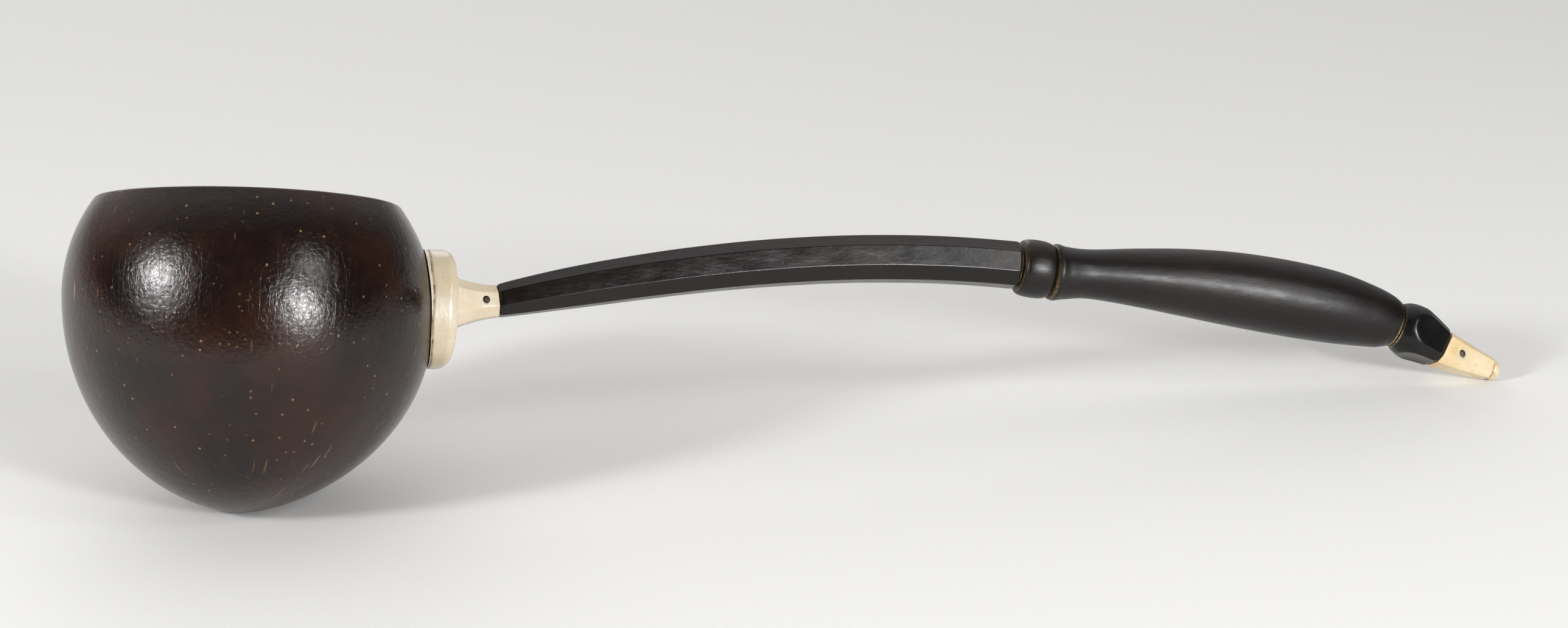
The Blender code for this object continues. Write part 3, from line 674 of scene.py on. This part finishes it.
def make_end_cap(material):
    pull = (CAP_END - CAP_START).length / 3
    knots = (CAP_START, CAP_START + heading(CAP_START_ANGLE) * pull,
             CAP_END - heading(CAP_END_ANGLE) * pull, CAP_END)
    count = 120
    middles = interpolate_bezier(*knots, count)
    length = (CAP_END - CAP_START).length
    columns = facet_columns(CAP_FLAT, TIP_ROLL, per_facet=13)
    rings, dirt = [], []
    for index, middle in enumerate(middles):
        share = index / (count - 1)
        angle = CAP_START_ANGLE + (CAP_END_ANGLE - CAP_START_ANGLE) * share
        apothem = CAP_START_APOTHEM + (CAP_END_APOTHEM - CAP_START_APOTHEM) * share
        (round_radius,) = along([(radius,) for radius in CAP_RADII], share)
        scoop = 0.32 * MM * math.sin(math.pi * min(max((share - 0.12) / 0.88, 0), 1)) ** 0.8
        last = max(1 - (1 - share) * length / (0.8 * MM), 0)
        closing = 0.45 * MM * (1 - math.sqrt(max(1 - last ** 2, 0)))
        radius = facet_radius(columns, apothem - closing, CAP_FLAT, TIP_ROLL, 60, scoop=scoop,
                              round_radius=round_radius)
        rings += frame_rings([middle], [angle], [radius * np.cos(columns)], [radius * np.sin(columns)])
        first = math.exp(-share * length / (0.4 * MM))
        dirt.append(np.full(len(columns), first))
    corners, faces = skin(rings)
    marks = {"dirt": np.concatenate([[1], np.concatenate(dirt), [0]])}
    return add_piece("ebony_end_cap", corners, faces, material, ["end_cap"], marks, sharp=45)


def make_tip(material):
    count = 110
    columns = facet_columns(CAP_FLAT, TIP_ROLL, per_facet=13)
    rings, shoulder_shade = [], []
    corner_point = TIP_MIDDLE * 2 - (TIP_START + TIP_END) / 2
    for share in np.linspace(0, 1, count):
        middle = quadratic(TIP_START, corner_point, TIP_END, share)
        angle = CAP_END_ANGLE + (TIP_END_ANGLE - CAP_END_ANGLE) * share
        apothem = (TIP_START_APOTHEM * (1 - share) * (1 - 2 * share)
                   + TIP_MIDDLE_APOTHEM * 4 * share * (1 - share)
                   + TIP_END_APOTHEM * share * (2 * share - 1))
        last = max((share - 0.95) / 0.05, 0)
        apothem -= 0.30 * MM * (1 - math.sqrt(max(1 - last ** 2, 0)))
        first = 0.12 * MM * math.exp(-share * 17.0 / 0.2)
        radius = facet_radius(columns, apothem - first, CAP_FLAT, TIP_ROLL, 60)
        rings += frame_rings([middle], [angle], [radius * np.cos(columns)], [radius * np.sin(columns)])
        # Painted shade: the last rings of the faceted tip, in the groove before the button, are darkened
        # as if in shade. This ring goes into the "dirt" mark that the bone material reads.
        shoulder_shade.append(np.full(len(columns), 1.0 * (share > 0.98)))
    direction = heading(TIP_END_ANGLE)
    steps = [(BUTTON_RADIUS - 0.12 * MM, 0.12 * MM), (BUTTON_RADIUS, 0.45 * MM)]
    dome = BUTTON_LENGTH - 0.6 * MM
    steps += [(BUTTON_RADIUS * math.cos(turn) ** 0.8, 0.6 * MM + dome * math.sin(turn))
              for turn in np.linspace(0, math.pi / 2 - 0.06, 16)[1:]]
    for radius, height in steps:
        ring_radius = np.full(len(columns), radius)
        rings += frame_rings([TIP_END + direction * height], [TIP_END_ANGLE],
                             [ring_radius * np.cos(columns)], [ring_radius * np.sin(columns)])
        shoulder_shade.append(np.zeros(len(columns)))
    corners, faces = skin(rings)
    corners += 0.03 * MM * ripple(corners, 0.003, 70)[:, None] * np.array([0, 1, 0])
    marks = {"dirt": np.concatenate([[0], np.concatenate(shoulder_shade), [0]]), "lip": np.zeros(len(corners))}
    return add_piece("bone_end", corners, faces, material, ["bone_tip"], marks, sharp=45)


# ---------------------------------------------------------------- materials

def new_material(name):
    material = bpy.data.materials.new(name)
    material.use_nodes = True
    return material, material.node_tree, material.node_tree.nodes["Principled BSDF"]


def add_node(tree, kind, inputs=None, **settings):
    """A shader node. Inputs are numbers, colours or the outputs of other nodes."""
    node = tree.nodes.new(f"ShaderNode{kind}")
    for name, value in settings.items():
        setattr(node, name, value)
    for name, value in (inputs or {}).items():
        if isinstance(value, bpy.types.NodeSocket):
            tree.links.new(value, node.inputs[name])
        else:
            node.inputs[name].default_value = value
    return node


def maths(tree, operation, first, second=0.0):
    return add_node(tree, "Math", {0: first, 1: second}, operation=operation).outputs[0]


def mark(tree, name):
    return add_node(tree, "Attribute", attribute_name=name).outputs["Fac"]


def stretched(tree, vector, scale):
    return add_node(tree, "Mapping", {"Vector": vector, "Scale": scale}).outputs["Vector"]


def place_of(tree, scale=(1, 1, 1)):
    """The point's place in the ladle's frame, stretched."""
    back = ladle_pose.inverted()
    place = add_node(tree, "Mapping", {
        "Vector": add_node(tree, "TexCoord").outputs["Object"],
        "Location": back.translation, "Rotation": back.to_euler()}).outputs["Vector"]
    return stretched(tree, place, scale)


def noise_of(tree, vector, scale, detail=3.0, roughness=0.5, distortion=0.0):
    return add_node(tree, "TexNoise", {"Vector": vector, "Scale": scale, "Detail": detail,
                                       "Roughness": roughness, "Distortion": distortion}).outputs["Fac"]


def ramp(tree, value, low, high, start=0.0, end=1.0):
    """A smooth step from start to end as value goes from low to high."""
    return add_node(tree, "MapRange", {"Value": value, "From Min": low, "From Max": high,
                                       "To Min": start, "To Max": end},
                    interpolation_type="SMOOTHSTEP").outputs["Result"]


def blend(tree, share, first, second):
    """Mix two colours by a share."""
    mix = add_node(tree, "Mix", data_type="RGBA")
    for index, value in ((0, share), (6, first), (7, second)):
        if isinstance(value, bpy.types.NodeSocket):
            tree.links.new(value, mix.inputs[index])
        else:
            mix.inputs[index].default_value = value if index == 0 else (*value, 1)
    return mix.outputs[2]


def spots(tree, vector, scale, size, share):
    """Scattered spots or dashes: cells of a Voronoi texture, of which only a share has one."""
    cells = add_node(tree, "TexVoronoi", {"Vector": vector, "Scale": scale})
    kept = add_node(tree, "SeparateColor", {"Color": cells.outputs["Color"]}).outputs["Red"]
    near = ramp(tree, cells.outputs["Distance"], size, size * 0.45)
    return maths(tree, "MULTIPLY", near, maths(tree, "LESS_THAN", kept, share))


def bump(tree, height, distance, strength=1.0, normal=None):
    inputs = {"Height": height, "Distance": distance, "Strength": strength}
    if normal:
        inputs["Normal"] = normal
    return add_node(tree, "Bump", inputs).outputs["Normal"]


def shell_coordinates(tree):
    """Unrolled place on the bowl: around, up and 0, in metres."""
    place = add_node(tree, "SeparateXYZ", {"Vector": place_of(tree)})
    turn = maths(tree, "ARCTAN2", place.outputs["Y"], place.outputs["X"])
    around = maths(tree, "MULTIPLY", turn, BOWL_RADIUS)
    return add_node(tree, "CombineXYZ", {"X": around, "Y": place.outputs["Z"]}).outputs["Vector"]


def coconut_material():
    material, tree, shader = new_material("polished_coconut_shell")
    unrolled = shell_coordinates(tree)
    plain = place_of(tree)
    inside = mark(tree, "inside")
    worn = mark(tree, "worn")

    patches = ramp(tree, noise_of(tree, plain, 34, 4, 0.55), 0.40, 0.66)
    colour = blend(tree, patches, (0.0078, 0.0036, 0.0028), (0.0225, 0.0072, 0.0034))
    mottle = ramp(tree, noise_of(tree, plain, 160, 4, 0.6), 0.45, 0.72)
    colour = blend(tree, maths(tree, "MULTIPLY", mottle, 0.35), colour, (0.026, 0.0115, 0.0068))
    dashes = spots(tree, stretched(tree, unrolled, (1, 0.25, 1)), 330, 0.20, 0.24)
    long_dashes = spots(tree, stretched(tree, unrolled, (1, 0.16, 1)), 120, 0.085, 0.24)
    dots = spots(tree, plain, 430, 0.21, 0.22)
    fibre = maths(tree, "MAXIMUM", maths(tree, "MULTIPLY", dashes, 0.42),
                  maths(tree, "MULTIPLY", long_dashes, 0.9))
    fibre = maths(tree, "MAXIMUM", fibre, maths(tree, "MULTIPLY", dots, 0.60))
    gathered = ramp(tree, noise_of(tree, plain, 55, 3), 0.35, 0.62, 0.35, 1.0)
    colour = blend(tree, maths(tree, "MULTIPLY", fibre, gathered), colour, (0.33, 0.18, 0.085))
    pits = spots(tree, plain, 240, 0.10, 0.20)
    colour = blend(tree, pits, colour, (0.003, 0.002, 0.002))

    # Inside, the shell is browner and scraped along its height; the sawn rim shows pale fibres.
    grain = noise_of(tree, stretched(tree, unrolled, (1, 0.12, 1)), 900, 4, 0.6)
    inner = blend(tree, ramp(tree, grain, 0.35, 0.70), (0.030, 0.015, 0.009), (0.085, 0.043, 0.022))
    inner = blend(tree, ramp(tree, noise_of(tree, plain, 45, 4), 0.42, 0.7), inner, (0.045, 0.020, 0.011))
    colour = blend(tree, ramp(tree, inside, 0.55, 0.95), colour, inner)
    sawn = maths(tree, "MULTIPLY", ramp(tree, inside, 0.1, 0.45), ramp(tree, inside, 0.9, 0.55))
    edge_fibres = blend(tree, ramp(tree, noise_of(tree, plain, 1500, 3), 0.4, 0.7),
                        (0.022, 0.012, 0.008), (0.070, 0.036, 0.019))
    colour = blend(tree, sawn, colour, edge_fibres)
    colour = blend(tree, worn, colour, (0.060, 0.034, 0.020))

    crinkle = noise_of(tree, plain, 800, 4, 0.62, 0.8)
    waves = noise_of(tree, plain, 380, 2)
    scratches = add_node(tree, "TexVoronoi", {
        "Vector": stretched(tree, unrolled, (1.3, 0.28, 1)), "Scale": 330.0},
        feature="DISTANCE_TO_EDGE").outputs["Distance"]
    scratch = ramp(tree, scratches, 0.0, 0.035)
    surface = bump(tree, waves, 0.00008)
    surface = bump(tree, crinkle, 0.00009, normal=surface)
    surface = bump(tree, scratch, 0.00001, normal=surface)
    surface = bump(tree, maths(tree, "SUBTRACT", 1.0, pits), 0.00012, normal=surface)
    tree.links.new(surface, shader.inputs["Normal"])
    rough = ramp(tree, noise_of(tree, plain, 70, 3), 0.3, 0.75, 0.15, 0.19)
    rough = maths(tree, "ADD", rough, maths(tree, "MULTIPLY", maths(tree, "MAXIMUM", inside, worn), 0.16))
    rough = maths(tree, "ADD", rough, maths(tree, "MULTIPLY", fibre, 0.12))
    tree.links.new(rough, shader.inputs["Roughness"])
    tree.links.new(colour, shader.inputs["Base Color"])
    shader.inputs["Specular IOR Level"].default_value = 0.42
    return material


def bone_material():
    material, tree, shader = new_material("polished_bone")
    plain = place_of(tree)
    dirt, lip = mark(tree, "dirt"), mark(tree, "lip")
    place = add_node(tree, "SeparateXYZ", {"Vector": plain})

    cloud = ramp(tree, noise_of(tree, plain, 75, 4, 0.55), 0.35, 0.72)
    colour = blend(tree, cloud, (0.690, 0.605, 0.470), (0.620, 0.505, 0.335))
    toward_tip = ramp(tree, place.outputs["X"], 0.20, 0.30)
    tip_tone = blend(tree, cloud, (0.730, 0.625, 0.430), (0.680, 0.500, 0.260))
    colour = blend(tree, toward_tip, colour, tip_tone)
    streaks = ramp(tree, noise_of(tree, place_of(tree, (0.12, 1, 1)), 700, 3), 0.52, 0.75)
    colour = blend(tree, maths(tree, "MULTIPLY", streaks, 0.20), colour, (0.58, 0.44, 0.23))
    amber = ramp(tree, noise_of(tree, plain, 210, 3, 0.6, 0.6), 0.60, 0.74)
    amber = maths(tree, "MULTIPLY", amber, ramp(tree, toward_tip, 0.0, 1.0, 0.16, 0.55))
    colour = blend(tree, amber, colour, (0.52, 0.27, 0.085))
    specks = spots(tree, plain, 300, 0.10, 0.10)
    colour = blend(tree, maths(tree, "MULTIPLY", specks, 0.8), colour, (0.20, 0.10, 0.04))

    # Old dirt in the groove beside the seam, broken up along its length. The same mark and colours also
    # paint shade into the groove at the tip's shoulder, before its button.
    broken = ramp(tree, noise_of(tree, plain, 520, 4, 0.7), 0.36, 0.60)
    soil = maths(tree, "MULTIPLY", dirt, maths(tree, "ADD", maths(tree, "MULTIPLY", broken, 0.75), 0.40))
    dirt_and_shade_colour = blend(tree, ramp(tree, noise_of(tree, plain, 330, 2), 0.42, 0.58),
                        (0.32, 0.185, 0.060), (0.11, 0.050, 0.020))
    colour = blend(tree, maths(tree, "MINIMUM", soil, 0.92), colour, dirt_and_shade_colour)
    pale = maths(tree, "MULTIPLY", ramp(tree, lip, 0.12, 0.35), ramp(tree, lip, 1.0, 0.82))
    colour = blend(tree, maths(tree, "MULTIPLY", pale, 0.45), colour, (0.78, 0.75, 0.66))

    # Verdigris that has crept from the pins into the bone.
    for x, height in ((SOCKET_PIN_X, 0.0628), (TIP_PIN_X, 0.0585)):
        away = add_node(tree, "VectorMath", {0: place_of(tree, (1, 0, 1)), 1: (x, 0, height)},
                        operation="DISTANCE").outputs["Value"]
        wander = maths(tree, "ADD", away, maths(tree, "MULTIPLY", noise_of(tree, plain, 800, 2), 0.0010))
        colour = blend(tree, ramp(tree, wander, 0.0036, 0.0014, 0.0, 0.42), colour, (0.50, 0.52, 0.40))
        colour = blend(tree, ramp(tree, wander, 0.0018, 0.0013, 0.0, 0.75), colour, (0.11, 0.085, 0.055))
    tree.links.new(colour, shader.inputs["Base Color"])

    tool_marks = noise_of(tree, place_of(tree, (1, 0.10, 0.10)), 4200, 3, 0.6)
    surface = bump(tree, noise_of(tree, plain, 420, 3), 0.00012)
    surface = bump(tree, tool_marks, 0.000022, normal=surface)
    surface = bump(tree, maths(tree, "SUBTRACT", 1.0, specks), 0.00010, normal=surface)
    tree.links.new(surface, shader.inputs["Normal"])
    rough = ramp(tree, noise_of(tree, plain, 130, 3), 0.3, 0.75, 0.20, 0.32)
    rough = maths(tree, "ADD", rough, maths(tree, "MULTIPLY", soil, 0.3))
    tree.links.new(rough, shader.inputs["Roughness"])
    shader.inputs["Subsurface Weight"].default_value = 0.25
    shader.inputs["Subsurface Radius"].default_value = (1.0, 0.75, 0.45)
    shader.inputs["Subsurface Scale"].default_value = 0.0016
    shader.inputs["Specular IOR Level"].default_value = 0.55
    return material


def ebony_material(name, dark, red, polish):
    material, tree, shader = new_material(name)
    plain = place_of(tree)
    dirt = mark(tree, "dirt")
    grain = noise_of(tree, place_of(tree, (0.035, 1, 1)), 1300, 4, 0.6)
    colour = blend(tree, ramp(tree, grain, 0.45, 0.78), dark, red)
    patch = ramp(tree, noise_of(tree, place_of(tree, (0.5, 1, 1)), 60, 3), 0.45, 0.7)
    colour = blend(tree, maths(tree, "MULTIPLY", patch, 0.6), colour, red)
    pores = spots(tree, place_of(tree, (0.10, 1, 1)), 900, 0.16, 0.20)
    colour = blend(tree, pores, colour, (0.003, 0.0025, 0.002))
    # Pale dust sits in the grooves, thickest underneath.
    broken = ramp(tree, noise_of(tree, plain, 900, 4, 0.7), 0.30, 0.58)
    height = add_node(tree, "SeparateXYZ", {"Vector": add_node(tree, "NewGeometry").outputs["Normal"]})
    below = ramp(tree, height.outputs["Z"], 0.45, -0.35, 0.08, 1.0)
    soil = maths(tree, "MULTIPLY", ramp(tree, dirt, 0.15, 0.75), maths(tree, "MULTIPLY", broken, below))
    colour = blend(tree, soil, colour, (0.40, 0.29, 0.15))
    tree.links.new(colour, shader.inputs["Base Color"])
    nicks = spots(tree, place_of(tree, (1, 0.22, 0.22)), 420, 0.07, 0.22)
    nicks = maths(tree, "MULTIPLY", nicks, ramp(tree, noise_of(tree, plain, 60, 2), 0.45, 0.6))
    surface = bump(tree, noise_of(tree, place_of(tree, (0.4, 1, 1)), 330, 3), 0.00012)
    surface = bump(tree, noise_of(tree, plain, 2300, 3, 0.6), 0.000018, normal=surface)
    surface = bump(tree, maths(tree, "SUBTRACT", 1.0, nicks), 0.00006, normal=surface)
    tree.links.new(surface, shader.inputs["Normal"])
    rough = ramp(tree, noise_of(tree, plain, 110, 3), 0.3, 0.75, polish, polish + 0.08)
    rough = maths(tree, "ADD", rough, maths(tree, "MULTIPLY", soil, 0.5))
    tree.links.new(rough, shader.inputs["Roughness"])
    shader.inputs["Specular IOR Level"].default_value = 0.38
    return material


def metal_material():
    material, tree, shader = new_material("tarnished_copper_alloy")
    plain = place_of(tree)
    tarnish = ramp(tree, noise_of(tree, plain, 900, 4, 0.6), 0.35, 0.7)
    colour = blend(tree, tarnish, (0.105, 0.070, 0.048), (0.030, 0.022, 0.017))
    green = ramp(tree, noise_of(tree, plain, 1500, 3), 0.62, 0.72, 0.0, 0.5)
    tree.links.new(blend(tree, green, colour, (0.075, 0.095, 0.070)), shader.inputs["Base Color"])
    tree.links.new(bump(tree, noise_of(tree, plain, 2600, 4), 0.00006), shader.inputs["Normal"])
    tree.links.new(ramp(tree, tarnish, 0, 1, 0.42, 0.68), shader.inputs["Roughness"])
    shader.inputs["Metallic"].default_value = 0.8
    return material


def dowel_material():
    material, tree, shader = new_material("dowel_wood")
    grain = noise_of(tree, place_of(tree, (0.05, 1, 1)), 1500, 4)
    colour = blend(tree, ramp(tree, grain, 0.35, 0.7), (0.40, 0.26, 0.13), (0.25, 0.14, 0.065))
    tree.links.new(colour, shader.inputs["Base Color"])
    tree.links.new(bump(tree, grain, 0.00005), shader.inputs["Normal"])
    tree.links.new(ramp(tree, grain, 0.3, 0.7, 0.6, 0.8), shader.inputs["Roughness"])
    return material


# ---------------------------------------------------------------- studio

def make_floor():
    """A seamless sweep of pale paper: flat under the ladle, rising far behind it."""
    front, rise_start, rise_radius, half_width = -3.5, 1.1, 1.4, 4.0
    path = [(front, 0.0), (rise_start, 0.0)]
    path += [(rise_start + rise_radius * math.sin(turn), rise_radius * (1 - math.cos(turn)))
             for turn in np.linspace(0, math.pi / 3, 17)[1:]]
    corners = [(side, y, z) for y, z in path for side in (-half_width, half_width)]
    faces = [(2 * step, 2 * step + 1, 2 * step + 3, 2 * step + 2) for step in range(len(path) - 1)]
    mesh = bpy.data.meshes.new("paper_floor")
    mesh.from_pydata(corners, [], faces)
    mesh.shade_smooth()
    material, tree, shader = new_material("pale_paper")
    grain = noise_of(tree, place_of(tree), 700, 4)
    colour = blend(tree, grain, (0.815, 0.81, 0.80), (0.84, 0.835, 0.83))
    tree.links.new(colour, shader.inputs["Base Color"])
    shader.inputs["Roughness"].default_value = 0.85
    shader.inputs["Specular IOR Level"].default_value = 0.2
    mesh.materials.append(material)
    floor = bpy.data.objects.new("paper_floor", mesh)
    bpy.context.scene.collection.objects.link(floor)


def make_lamp(name, direction, distance, size, power):
    """A round lamp that faces the bowl."""
    data = bpy.data.lights.new(name, "AREA")
    data.shape = "DISK"
    data.size = size
    data.energy = power
    lamp = bpy.data.objects.new(name, data)
    low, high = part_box("bowl_shell")
    aim = (Vector(low) + Vector(high)) / 2
    lamp.location = aim + direction.normalized() * distance
    lamp.rotation_euler = (-direction).to_track_quat("-Z", "Y").to_euler()
    bpy.context.scene.collection.objects.link(lamp)


def make_umbrella(name, direction, distance, power):
    """An umbrella light: a hot middle in a wide, softer disc."""
    middle_share = 0.66
    make_lamp(f"{name}_middle", direction, distance, 0.26, power * middle_share)
    make_lamp(f"{name}_disc", direction, distance, 0.95, power * (1 - middle_share))


def make_world(around, above):
    """A dim room with a broad soft light overhead, towards the back."""
    world = bpy.data.worlds.new("studio")
    world.use_nodes = True
    tree = world.node_tree
    sky = add_node(tree, "TexCoord").outputs["Generated"]
    towards = add_node(tree, "VectorMath", {0: sky, 1: (0.0, 0.66, 0.75)}, operation="DOT_PRODUCT")
    background = tree.nodes["Background"]
    background.inputs["Color"].default_value = (1.0, 0.99, 0.98, 1)
    strength = ramp(tree, towards.outputs["Value"], 0.35, 0.95, around, above)
    tree.links.new(strength, background.inputs["Strength"])
    bpy.context.scene.world = world


def make_camera():
    data = bpy.data.cameras.new("camera")
    data.lens = CAMERA_LENS
    data.clip_start, data.clip_end = 0.05, 20
    camera = bpy.data.objects.new("camera", data)
    azimuth, elevation = math.radians(CAMERA_AZIMUTH), math.radians(CAMERA_ELEVATION)
    aim = Euler((math.pi / 2 - elevation, 0, azimuth)).to_matrix().to_4x4()
    roll = Matrix.Rotation(math.radians(CAMERA_ROLL), 4, "Z")
    camera.matrix_world = Matrix.Translation(CAMERA_PLACE) @ aim @ roll
    bpy.context.scene.collection.objects.link(camera)
    bpy.context.scene.camera = camera


# ---------------------------------------------------------------- the whole

make_camera()
coconut = coconut_material()
bone = bone_material()
shaft_ebony = ebony_material("ebony_brown", (0.0052, 0.0040, 0.0035), (0.0130, 0.0064, 0.0044), 0.17)
cap_ebony = ebony_material("ebony_black", (0.0038, 0.0036, 0.0036), (0.0058, 0.0050, 0.0046), 0.22)
grip_ebony = ebony_material("ebony_worn", (0.0052, 0.0042, 0.0038), (0.0110, 0.0062, 0.0046), 0.33)
metal = metal_material()
dowel_wood = dowel_material()
for dowel in ("grip_dowel", "cap_dowel"):
    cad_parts[dowel].data.materials[0] = dowel_wood

make_bowl(coconut)
flange = make_flange(bone)
make_rivets(flange, metal)
make_shaft(shaft_ebony)
make_bead(grip_ebony)
make_grip(grip_ebony)
make_end_cap(cap_ebony)
tip = make_tip(bone)

neck_share = (SOCKET_PIN_X - NECK_START.x) / (NECK_END.x - NECK_START.x)
neck_middle, _, _, neck_radii = neck_section(neck_share)
make_pin("socket_cross_pin", "socket_pin", neck_middle, float(neck_radii.min()), HANDLE_ROLL,
         metal, flange)
tip_share = (TIP_PIN_X - TIP_START.x) / (TIP_MIDDLE.x - TIP_START.x)
tip_apothem = TIP_START_APOTHEM + (TIP_MIDDLE_APOTHEM - TIP_START_APOTHEM) * tip_share
make_pin("tip_cross_pin", "tip_pin", TIP_START.lerp(TIP_MIDDLE, tip_share), tip_apothem, TIP_ROLL,
         metal, tip)

make_floor()
make_world(0.06, 0.78)
make_umbrella("left_lamp", Vector((-0.827, -0.364, 0.428)), 1.5, 18.5)
make_umbrella("right_lamp", Vector((0.461, -0.845, 0.271)), 1.7, 22)
make_lamp("upper_right_lamp", Vector((0.585, -0.580, 0.565)), 1.8, 0.4, 3.6)
make_lamp("back_lamp", Vector((0, 0.93, 0.36)), 2.0, 1.6, 10)
bpy.context.scene.view_settings.view_transform = "Standard"
